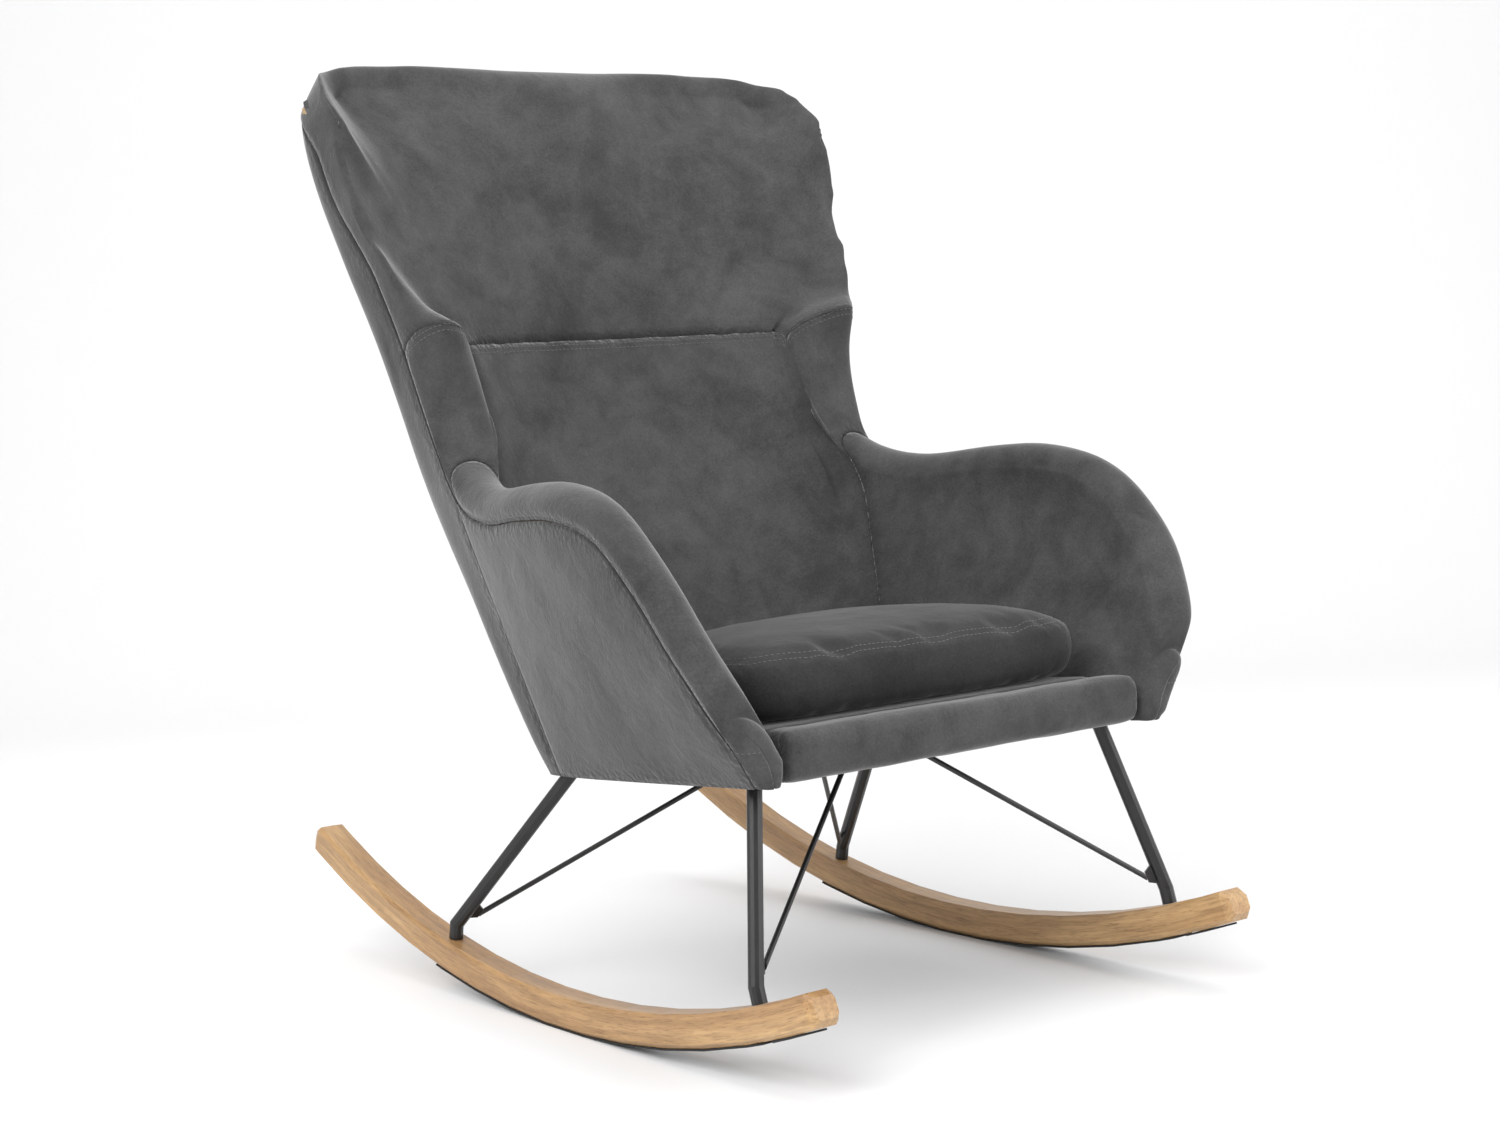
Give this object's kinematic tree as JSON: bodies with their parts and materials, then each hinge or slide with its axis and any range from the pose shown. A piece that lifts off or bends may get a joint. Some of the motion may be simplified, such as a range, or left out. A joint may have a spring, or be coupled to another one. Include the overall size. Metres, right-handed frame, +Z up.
{
  "type": "rocking chair",
  "caption": "Wingback rocking chair: an upholstered shell with wings and sloping arms and a loose seat cushion, on a black rod base with bent wooden rockers.",
  "frame": {"origin": "on the floor, under the middle of the bounding box", "axes": "+Z up; the chair faces -Y; X is its symmetric direction"},
  "size_m": [0.694, 0.9285, 1.0221],
  "materials": {
    "oak": "clear lacquered oak, satin",
    "anti_slip": "matt black strip",
    "black_metal": "black powder coat, satin",
    "zinc": "zinc plated",
    "bare_wood": "unfinished",
    "dust_cloth": "thin black non-woven cloth",
    "foam": null,
    "shell_velvet": "charcoal velvet, short pile",
    "cushion_velvet": "charcoal velvet, short pile, darker nap",
    "zip": "black"
  },
  "bodies": {
    "chair": {"arm_cover_inner_left": "shell_velvet", "arm_cover_inner_right": "shell_velvet", "arm_cover_outer_left": "shell_velvet", "arm_cover_outer_right": "shell_velvet", "arm_foam_left": "foam", "arm_foam_right": "foam", "back_cover_lower": "shell_velvet", "back_cover_upper": "shell_velvet", "back_foam": "foam", "brace_front_left": "black_metal", "brace_front_right": "black_metal", "brace_rear_left": "black_metal", "brace_rear_right": "black_metal", "brace_tab_front_left": "black_metal", "brace_tab_front_right": "black_metal", "brace_tab_rear_left": "black_metal", "brace_tab_rear_right": "black_metal", "captive_nut_front_left": "zinc", "captive_nut_front_right": "zinc", "captive_nut_rear_left": "zinc", "captive_nut_rear_right": "zinc", "cross_bar_front": "black_metal", "cross_bar_rear": "black_metal", "deck_cover": "shell_velvet", "deck_foam": "foam", "dust_cover": "dust_cloth", "frame_bolt_front_left": "zinc", "frame_bolt_front_right": "zinc", "frame_bolt_rear_left": "zinc", "frame_bolt_rear_right": "zinc", "front_rail": "bare_wood", "leg_front_left": "black_metal", "leg_front_right": "black_metal", "leg_rear_left": "black_metal", "leg_rear_right": "black_metal", "rear_cover": "shell_velvet", "rim_rod": "black_metal", "rocker_bolt_front_left": "zinc", "rocker_bolt_front_right": "zinc", "rocker_bolt_rear_left": "zinc", "rocker_bolt_rear_right": "zinc", "rocker_front_pad_left": "anti_slip", "rocker_front_pad_right": "anti_slip", "rocker_left": "oak", "rocker_right": "oak", "rocker_strip_left": "anti_slip", "rocker_strip_right": "anti_slip", "roll_cover": "shell_velvet", "roll_foam": "foam", "seat_board": "bare_wood", "shell_board": "bare_wood", "side_bar_left": "black_metal", "side_bar_right": "black_metal"},
    "cushion": {"cushion_bottom": "cushion_velvet", "cushion_cover": "cushion_velvet", "cushion_foam": "foam", "cushion_zip": "zip"}
  },
  "joints": [
    {"name": "cushion_lift", "type": "slide", "parent": "chair", "child": "cushion", "axis": [0, 0, 1], "range_m": [0, 0.25]}
  ]
}
